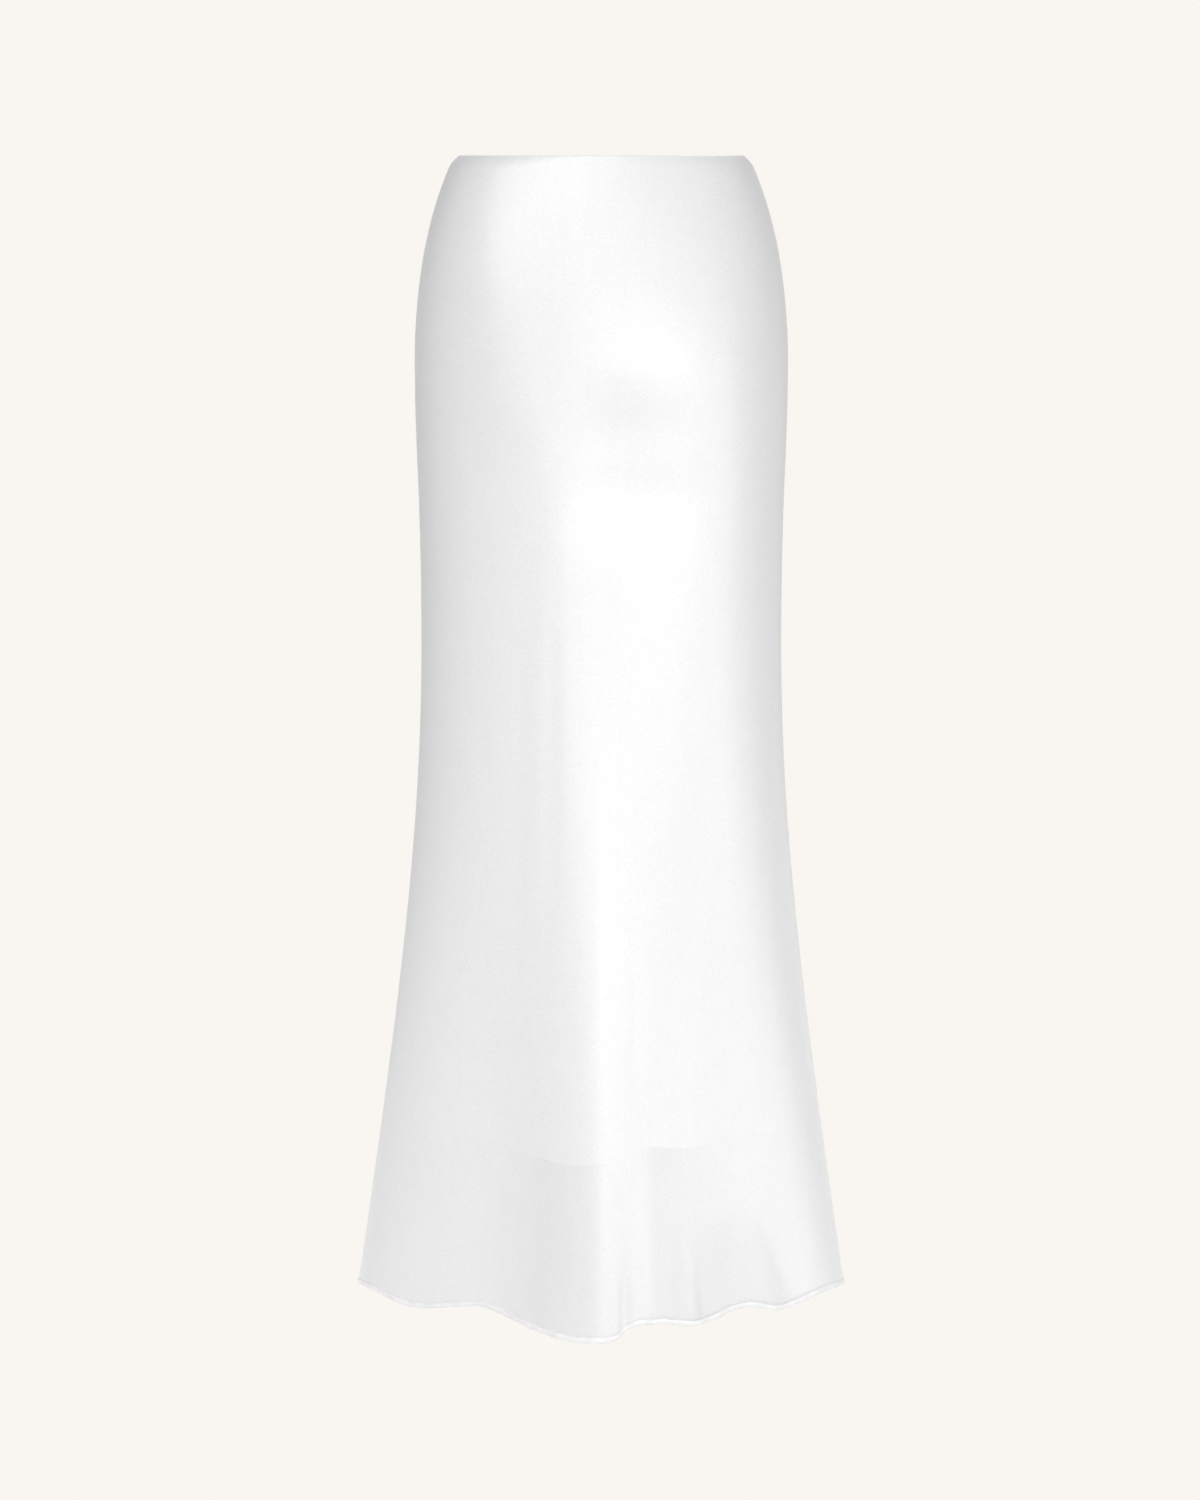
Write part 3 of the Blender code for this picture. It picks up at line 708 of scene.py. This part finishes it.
@dataclass
class SatinPanels:
    """The satin: a front cut in one and two backs, with a turned waist edge and a narrow rolled hem."""

    surface: WornSurface
    zip: ConcealedZipSizes
    cloth: float = 0.45 * MM
    seam_half: float = 0.04 * MM
    turned_outer: float = 1.7 * MM
    turned_depth: float = 8 * MM
    hem_height: float = 5.2 * MM
    hem_proud: float = 0.85 * MM
    hem_groove: float = 0.35 * MM
    row_step: float = 8 * MM
    columns: dict = field(
        default_factory=lambda: {Side.FRONT: 216, Side.BACK_LEFT: 104, Side.BACK_RIGHT: 104}
    )

    def waist_stations(self) -> Stations:
        """The turned edge: up the inside, round a half circle, and on to the outer face."""
        centre = self.turned_outer / 2
        up = np.linspace(self.turned_depth, centre, 4)[:-1]
        inside = Stations.level(up, self.turned_outer, self.turned_outer - self.cloth)
        lean = np.linspace(0, math.pi, 13)
        thin = centre - self.cloth
        turn = Stations(
            centre + centre * np.cos(lean),
            centre - centre * np.sin(lean),
            centre + thin * np.cos(lean),
            centre - thin * np.sin(lean),
        )
        return Stations.joined([inside, turn])

    def hem_stations(self) -> Stations:
        """The rolled hem: a stitched groove, then a puffed roll that is half an ellipse on both faces."""
        length = self.surface.length
        groove_up = self.hem_height + np.array([1.8, 1.1, 0.7, 0.4, 0.1, -0.2]) * MM
        groove = self.hem_groove * np.array([0.0, 0.25, 0.7, 1.0, 0.7, 0.1])
        roll_up = np.linspace(self.hem_height - 0.6 * MM, 0, 12)
        share = 1 - roll_up / self.hem_height
        roll = -self.hem_proud * np.sqrt(np.clip(np.sin(math.pi * (0.06 + 0.94 * share)), 0, 1)) * 0.95
        roll[-1] = -0.05 * MM
        outer = np.concatenate([groove, roll])
        depth = length - np.concatenate([groove_up, roll_up])
        inner = self.cloth + np.concatenate([groove * 0, -roll * 0.7])
        return Stations.level(depth, outer, inner)

    def stations(self) -> Stations:
        """All the rows of a panel."""
        top = np.array([2.6, 3.6, 5.0, 7.0, 9.2, 10.7, 12.0, 13.5, 15.0, 16.3, 17.8, 20.0, 24.0]) * MM
        bottom = self.surface.length - self.hem_height - 4 * MM
        body = np.linspace(top[-1], bottom, round((bottom - top[-1]) / self.row_step) + 1)[1:]
        rows = Stations.level(np.concatenate([top, body]), 0.0, self.cloth)
        return Stations.joined([self.waist_stations(), rows, self.hem_stations()])

    def seam_half_gap(self, angle: float, depth: np.ndarray) -> np.ndarray:
        """Half of a seam's gap, wider round the slider's neck at the back.

        Args:
            angle: The seam's angle.
            depth: Depths below the waist edge.

        Returns:
            The half gap at those depths.
        """
        if not at_centre_back(angle):
            return np.full_like(depth, self.seam_half)
        opened = np.interp(depth, self.zip.notch, [0, 1, 1, 0])
        return self.seam_half + (self.zip.notch_half - self.seam_half) * opened

    def columns_across(self, count: int) -> np.ndarray:
        """Shares of the way across a panel: even, with extra columns close to both seams."""
        usual_width = 0.45
        edge = np.array([0, 0.6, 1.3, 2.2, 3.4]) * MM / usual_width
        between = np.linspace(0.011, 0.989, count - 9)
        return np.concatenate([edge, between, 1 - edge[::-1]])

    def pucker(self, angle: np.ndarray) -> np.ndarray:
        """How much fuller or flatter the hem's roll is from place to place: a sum of uneven waves."""
        return (
            0.18 * np.sin(37 * angle + 1.0)
            + 0.13 * np.sin(61 * angle + 2.3)
            + 0.08 * np.sin(83 * angle + 0.4)
        )

    def panel(self, name: str, side: Side) -> bpy.types.Object:
        """One panel: the surface at each station, sunk a little along its seams and puckered at its hem.

        Args:
            name: The piece's name.
            side: Which panel it is.

        Returns:
            The mesh object, with the attribute place on its points.
        """
        s = self.stations()
        low, high = side.value
        share = self.columns_across(self.columns[side])[None, :]
        grids, places = [], []
        for inset, depth in ((s.outer_inset, s.outer_depth), (s.inner_inset, s.inner_depth)):
            inset, depth = inset[:, None], depth[:, None]
            at_low = self.surface.radius(np.full_like(depth, low), depth, True)
            at_high = self.surface.radius(np.full_like(depth, high), depth, True)
            start = low + self.seam_half_gap(low, depth) / at_low
            end = high - self.seam_half_gap(high, depth) / at_high
            angle = start + (end - start) * share
            from_seam = np.minimum((angle - start) * at_low, (end - angle) * at_high)
            depth = depth + 0 * angle
            up = self.surface.length - depth
            roll = smooth((self.hem_height - up) / MM)
            fuller = np.where(inset < 0, 1 + roll * self.pucker(angle), 1)
            sunk = self.surface.seam_hollow(from_seam, depth)
            uneven = roll * 0.35 * MM * np.sin(23 * angle + 0.7)
            grids.append(self.surface.point(angle, depth + uneven, inset * fuller + sunk))
            places.append(np.stack([angle, depth, up], axis=-1).reshape(-1, 3))
        piece = closed_wall(name, *grids)
        add_attribute(piece, "place", np.concatenate(places))
        return piece

    def stitches(self, name: str, pitch: float = 3.2 * MM, length: float = 2.3 * MM) -> bpy.types.Object:
        """The hem's stitches: a short round-ended bar of thread for each, half sunk in the groove.

        Args:
            name: The piece's name.
            pitch: From one stitch to the next.
            length: Length of a stitch.

        Returns:
            All the stitches as one mesh.
        """
        depth = self.surface.length - self.hem_height - 0.4 * MM
        fine = np.linspace(-math.pi, math.pi, 8001)
        line = self.surface.point(fine, np.full_like(fine, depth), np.full_like(fine, 0.0))
        run = np.concatenate([[0], np.cumsum(np.linalg.norm(np.diff(line, axis=0), axis=1))])
        count = round(run[-1] / pitch)
        middle = (np.arange(count) + 0.5) * run[-1] / count
        along = np.array([-0.5, -0.42, -0.2, 0.2, 0.42, 0.5]) * length
        thick = np.array([0.25, 0.8, 1.0, 1.0, 0.8, 0.25]) * 0.17 * MM
        round_about = np.linspace(0, 2 * math.pi, 7)[:-1]
        at = np.interp(middle[:, None] + along[None, :], run, fine)[..., None]
        inset = self.hem_groove * 0.55 - thick[None, :, None] * np.cos(round_about)
        rise = thick[None, :, None] * np.sin(round_about)
        points = self.surface.point(at + 0 * inset, depth + rise + 0 * at, inset + 0 * at)
        number = np.arange(count * 6 * 6).reshape(count, 6, 6)
        around = np.roll(number, -1, axis=2)
        sides = np.stack([number[:, :-1], number[:, 1:], around[:, 1:], around[:, :-1]], axis=-1)
        first, last = number[:, 0], number[:, -1]
        caps = [c[:, order] for c, order in (
            (first, [0, 1, 2, 3]), (first, [0, 3, 4, 5]), (last, [3, 2, 1, 0]), (last, [5, 4, 3, 0]),
        )]
        quads = np.concatenate([sides.reshape(-1, 4), *caps])
        return link_mesh(name, points.reshape(-1, 3), quads)

    def build(self, satin: bpy.types.Material, thread: bpy.types.Material) -> None:
        """Builds and dresses the three panels and the hem's stitches."""
        cuts = (
            ("satin_front", "front_panel", Side.FRONT, (0.556, 1.053), 0.474),
            ("satin_back_left", "back_panel_left", Side.BACK_LEFT, (0.292, 1.048), 0.244),
            ("satin_back_right", "back_panel_right", Side.BACK_RIGHT, (0.292, 1.048), 0.244),
        )
        stitches = self.stitches("hem_stitches")
        stitches.data.materials.append(thread)
        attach(stitches, "skirt")
        log.info("hem stitches: %d faces", len(stitches.data.polygons))
        for name, node, side, flat, area in cuts:
            piece = self.panel(name, side)
            piece.data.materials.append(satin)
            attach(piece, "skirt")
            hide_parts(node)
            log.info("%s: %d faces", name, len(piece.data.polygons))


@dataclass
class Lining:
    """The shorter lining, in the same three pieces, with a turned hem."""

    surface: WornSurface
    zip: ConcealedZipSizes
    length: float = 0.893
    cloth: float = 0.4 * MM
    inset_top: float = 1.4 * MM
    inset_hem: float = 17 * MM
    top: float = 8.2 * MM
    hem_height: float = 12 * MM
    clearance: float = 0.3 * MM
    seam_half: float = 0.1 * MM
    zip_margin: float = 5.5 * MM
    waves: int = 6
    wave_height: float = 2.5 * MM
    row_step: float = 12 * MM

    def inset(self, depth: np.ndarray) -> np.ndarray:
        """How far inside the satin the lining hangs: from its top to its hem as depth^1.2."""
        return self.inset_top + (self.inset_hem - self.inset_top) * (depth / self.length) ** 1.2

    def stations(self) -> Stations:
        """The rows: even down to the hem, which is twice as thick and ends in a rounded edge."""
        turned = self.length - self.hem_height
        body = np.linspace(self.top, turned - 2 * MM, round((turned - self.top) / self.row_step))
        hem = self.length - np.array([12.8, 12.0, 11.2, 8.0, 4.0, 1.0, 0.3, 0.0]) * MM
        proud = np.array([0.0, 0.1, 0.35, 0.4, 0.4, 0.4, 0.25, 0.0]) * MM
        depth = np.concatenate([body, hem])
        thicker = np.concatenate([0 * body, proud])
        outer = self.inset(depth) + self.clearance
        return Stations.level(depth, outer - thicker * 0.5, outer + self.cloth + thicker * 0.5)

    def panel(self, name: str, side: Side, columns: int) -> bpy.types.Object:
        """One lining panel: the rounder surface at each station, with soft waves towards its hem.

        Args:
            name: The piece's name.
            side: Which panel it is.
            columns: How many columns of points.

        Returns:
            The mesh object, with the attribute place on its points.
        """
        s = self.stations()
        low, high = side.value
        share = np.linspace(0, 1, columns)[None, :]
        grids, places = [], []
        for inset, depth in ((s.outer_inset, s.outer_depth), (s.inner_inset, s.inner_depth)):
            inset, depth = inset[:, None], depth[:, None]
            clear = smooth((self.zip.length + 0.020 - depth) / 0.030)
            beside_zip = self.seam_half + (self.zip_margin - self.seam_half) * clear
            gaps = [beside_zip if at_centre_back(seam) else self.seam_half for seam in (low, high)]
            start = low + gaps[0] / self.surface.radius(np.full_like(depth, low), depth, False)
            end = high - gaps[1] / self.surface.radius(np.full_like(depth, high), depth, False)
            angle = start + (end - start) * share
            depth = depth + 0 * angle
            wave = self.wave_height * np.cos(self.waves * angle) * smooth(depth / self.length - 0.2)
            grids.append(self.surface.point(angle, depth, inset - wave, False))
            places.append(np.stack([angle, depth, self.length - depth], axis=-1).reshape(-1, 3))
        piece = closed_wall(name, *grids)
        add_attribute(piece, "place", np.concatenate(places))
        return piece

    def build(self, cloth: bpy.types.Material) -> None:
        """Builds and dresses the three panels."""
        cuts = (
            ("lining_cloth_front", "lining_front", Side.FRONT, (0.445, 0.89), 0.363, 96),
            ("lining_cloth_left", "lining_back_left", Side.BACK_LEFT, (0.229, 0.89), 0.186, 48),
            ("lining_cloth_right", "lining_back_right", Side.BACK_RIGHT, (0.229, 0.89), 0.186, 48),
        )
        for name, node, side, flat, area, columns in cuts:
            piece = self.panel(name, side, columns)
            piece.data.materials.append(cloth)
            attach(piece, "skirt")
            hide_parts(node)
            log.info("%s: %d faces", name, len(piece.data.polygons))


@dataclass
class ConcealedZip:
    """The zip in the back seam: two woven tapes, the closed teeth, the slider and its pull."""

    surface: WornSurface
    sizes: ConcealedZipSizes
    tape_half_gap: float = 0.1 * MM
    tape_inset: float = 0.55 * MM
    tape_cloth: float = 0.5 * MM
    tape_width: float = 12 * MM
    tape_top: float = 2.9 * MM
    tooth_pitch: float = 1.6 * MM
    tooth_reach: float = 1.9 * MM
    tooth_radius: float = 0.45 * MM
    tooth_clearance: float = 0.05 * MM
    bare_end: float = 3 * MM

    def tape(self, name: str, side: Side) -> bpy.types.Object:
        """One tape: the satin's surface and seam hollow moved in, over the tape's width from the back seam.

        Args:
            name: The piece's name.
            side: The back that it is sewn to.

        Returns:
            The mesh object.
        """
        depth = np.linspace(self.tape_top, self.sizes.length, 60)[:, None]
        opened = np.interp(depth, self.sizes.notch, [0, 1, 1, 0])
        edge = self.tape_half_gap + (self.sizes.notch_half - self.tape_half_gap) * opened
        radius = self.surface.radius(np.full_like(depth, math.pi), depth, True)
        share = np.linspace(0, 1, 13)[None, :] ** 1.5
        from_edge = (self.tape_width - edge) * share
        if side is Side.BACK_LEFT:
            from_edge = from_edge[:, ::-1]
            angle = math.pi - (edge + from_edge) / radius
        else:
            angle = (edge + from_edge) / radius - math.pi
        depth = depth + 0 * angle
        outer = self.tape_inset + self.surface.seam_hollow(from_edge, depth)
        grids = [self.surface.point(angle, depth, inset) for inset in (outer, outer + self.tape_cloth)]
        return closed_wall(name, *grids)

    def teeth(self, name: str) -> bpy.types.Object:
        """The closed teeth: a row of short rounded bars across the seam, on the tapes' inner side.

        Args:
            name: The piece's name.

        Returns:
            All the teeth as one mesh.
        """
        start, end = self.sizes.notch[-1] + self.bare_end, self.sizes.length - self.bare_end
        rows = np.arange(start, end, self.tooth_pitch)
        across = np.linspace(-1, 1, 7)
        thick = self.tooth_radius * np.sqrt(np.clip(1 - 0.85 * across**4, 0.1, 1))
        round_about = np.linspace(0, 2 * math.pi, 9)[:-1]
        radius = self.surface.radius(np.full_like(rows, math.pi), rows, True)
        angle = math.pi + across[None, :, None] * self.tooth_reach / radius[:, None, None]
        depth = rows[:, None, None] + thick[None, :, None] * np.sin(round_about)
        inner_face = self.surface.seam_sink + self.tape_inset + self.tape_cloth
        middle = inner_face + self.tooth_clearance + self.tooth_radius
        inset = middle - thick[None, :, None] * np.cos(round_about)
        points = self.surface.point(angle + 0 * depth, depth + 0 * angle, inset + 0 * angle + 0 * depth)
        number = np.arange(len(rows) * 7 * 8).reshape(len(rows), 7, 8)
        around = np.roll(number, -1, axis=2)
        sides = np.stack([number[:, :-1], number[:, 1:], around[:, 1:], around[:, :-1]], axis=-1)
        first, last = number[:, 0], number[:, -1]
        orders = ([0, 1, 2, 3], [0, 3, 4, 5], [0, 5, 6, 7])
        caps = [first[:, o] for o in orders] + [last[:, o[::-1]] for o in orders]
        return link_mesh(name, points.reshape(-1, 3), np.concatenate([sides.reshape(-1, 4), *caps]))

    def build(self, tape: bpy.types.Material, metal: bpy.types.Material, thread: bpy.types.Material) -> None:
        """Builds and dresses the tapes and the teeth, and gives the slider and pull their finish."""
        sides = (
            ("tape_left", "zip_tape_left", Side.BACK_LEFT),
            ("tape_right", "zip_tape_right", Side.BACK_RIGHT),
        )
        for name, node, side in sides:
            piece = self.tape(name, side)
            piece.data.materials.append(tape)
            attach(piece, "skirt")
            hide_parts(node)
        teeth = self.teeth("zip_teeth")
        teeth.data.materials.append(thread)
        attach(teeth, "skirt")
        for node in ("zip_slider", "zip_pull"):
            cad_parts[node].material_slots[0].material = metal
        log.info("zip: %d teeth faces", len(teeth.data.polygons))


# The studio


class SoftBox(NamedTuple):
    """One light: its place, the point that it faces, its width and height, and if the satin mirrors it."""

    name: str
    place: tuple[float, float, float]
    aim: tuple[float, float, float]
    size: tuple[float, float]
    watts: float
    glints: bool


LIGHTS = (
    SoftBox("key", (1.1, -3.8, -0.36), (0, 0, -0.6), (3.2, 0.9), 50, True),
    SoftBox("side", (2.7, -2.2, -0.8), (0, 0, -0.7), (1.0, 1.8), 13.2, True),
    SoftBox("upper", (-1.5, -3.0, 1.4), (0, 0, -0.1), (3.8, 1.6), 56.5, True),
    SoftBox("overhead", (0, -1.0, 2.4), (0, 0, 0), (2.4, 1.4), 10.5, True),
    SoftBox("right_low", (1.5, -0.5, -1.10), (0.2, 0, -1.0), (0.6, 0.6), 2.2, True),
    SoftBox("left_low", (-0.9, -0.3, -1.0), (-0.15, 0, -0.95), (0.4, 0.4), 0.75, False),
    SoftBox("front_low", (-0.35, -1.0, -1.25), (-0.05, 0, -1.0), (0.4, 0.3), 0.14, False),
    SoftBox("rim_right", (1.2, 1.1, -1.0), (0, 0, -0.9), (0.5, 0.5), 10.5, False),
    SoftBox("rim_left", (-0.75, 0.5, -1.15), (-0.1, 0, -0.95), (0.3, 0.3), 2.0, False),
    SoftBox("floor_bounce", (0, -0.4, -1.28), (0, -0.4, 0), (3.0, 3.0), 11.6, True),
    SoftBox("back", (-1.2, 3.8, -0.30), (0, 0, -0.6), (3.0, 0.9), 46, False),
    SoftBox("back_upper", (0.5, 2.2, 2.4), (0, 0, -0.3), (2.0, 1.0), 30, True),
)


@dataclass
class Studio:
    """A pale backdrop, soft lights and the camera."""

    cream: tuple[float, float, float] = (0.9473, 0.9216, 0.8796)
    glow: tuple[float, float, float, float] = (0.985, 0.985, 1.0, 1)
    glow_strength: float = 0.325
    floor_height: float = -1.30
    room: float = 14.0
    camera_distance: float = 3.6
    camera_left: float = 0.0012
    camera_pitch: float = 8.4537
    lens: float = 96.0

    def backdrop_material(self) -> bpy.types.Material:
        """A plain glow of the backdrop's colour."""
        material = bpy.data.materials.new("backdrop")
        material.use_nodes = True
        tree = material.node_tree
        tree.nodes.clear()
        glow = tree.nodes.new("ShaderNodeEmission")
        glow.inputs["Color"].default_value = (*self.cream, 1)
        output = tree.nodes.new("ShaderNodeOutputMaterial")
        tree.links.new(glow.outputs[0], output.inputs[0])
        return material

    def seen_only(self, piece: bpy.types.Object) -> None:
        """The backdrop shows but casts no light or shade on the skirt."""
        piece.visible_diffuse = False
        piece.visible_glossy = False
        piece.visible_transmission = False
        piece.visible_shadow = False

    def build_backdrop(self) -> None:
        """The floor, and a round room whose radius is worked out from the floor up as a sphere's."""
        material = self.backdrop_material()
        size = self.room
        corners = np.array([[-1, -1, 0], [1, -1, 0], [1, 1, 0], [-1, 1, 0]]) * size
        corners[:, 2] = self.floor_height
        floor = link_mesh("floor", corners, np.array([[0, 1, 2, 3]]))
        turn = np.linspace(0, 2 * math.pi, 49)[None, :]
        lift = np.linspace(-math.pi / 2 + 0.01, math.pi / 2 - 0.01, 25)[:, None]
        wall = size * np.stack(
            [np.cos(lift) * np.cos(turn), np.cos(lift) * np.sin(turn), np.sin(lift) + 0 * turn], axis=-1
        )
        number = np.arange(wall.shape[0] * wall.shape[1]).reshape(wall.shape[:2])
        room = link_mesh("room", wall.reshape(-1, 3), grid_quads(number[1:], number[:-1]))
        for piece in (floor, room):
            piece.data.materials.append(material)
            self.seen_only(piece)

    def build_lights(self) -> None:
        """The soft boxes, each turned to the point that it faces, and an even glow."""
        for box in LIGHTS:
            data = bpy.data.lights.new(box.name, "AREA")
            data.shape = "RECTANGLE"
            data.size, data.size_y = box.size
            data.energy = box.watts
            light = bpy.data.objects.new(box.name, data)
            light.location = box.place
            light.rotation_euler = (Vector(box.aim) - Vector(box.place)).to_track_quat("-Z", "Y").to_euler()
            light.visible_camera = False
            light.visible_glossy = box.glints
            bpy.context.scene.collection.objects.link(light)
        world = bpy.data.worlds.new("room_light")
        world.use_nodes = True
        background = world.node_tree.nodes["Background"]
        background.inputs["Color"].default_value = self.glow
        background.inputs["Strength"].default_value = self.glow_strength
        bpy.context.scene.world = world

    def build_camera(self) -> None:
        """The camera, level with the waist and pitched down."""
        data = bpy.data.cameras.new("camera")
        data.lens = self.lens
        data.clip_end = 60
        camera = bpy.data.objects.new("camera", data)
        camera.location = (-self.camera_left, -self.camera_distance, 0)
        camera.rotation_euler = (math.radians(90 - self.camera_pitch), 0, 0)
        bpy.context.scene.collection.objects.link(camera)
        bpy.context.scene.camera = camera

    def build(self) -> None:
        """Builds the backdrop, lights and camera, with plain colours on film."""
        self.build_backdrop()
        self.build_lights()
        self.build_camera()
        bpy.context.scene.view_settings.view_transform = "Standard"


def main() -> None:
    """Builds the studio and every piece of the skirt, in order."""
    logging.basicConfig(level=logging.INFO, format="%(name)s: %(message)s")
    Studio().build()
    surface, zip_sizes = WornSurface(), ConcealedZipSizes()
    thread = SewingThread().make()
    SatinPanels(surface, zip_sizes).build(Satin().make(), thread)
    Lining(surface, zip_sizes).build(LiningCloth().make())
    ConcealedZip(surface, zip_sizes).build(ZipTape().make(), LacqueredMetal().make(), thread)


if __name__ == "__main__":
    main()
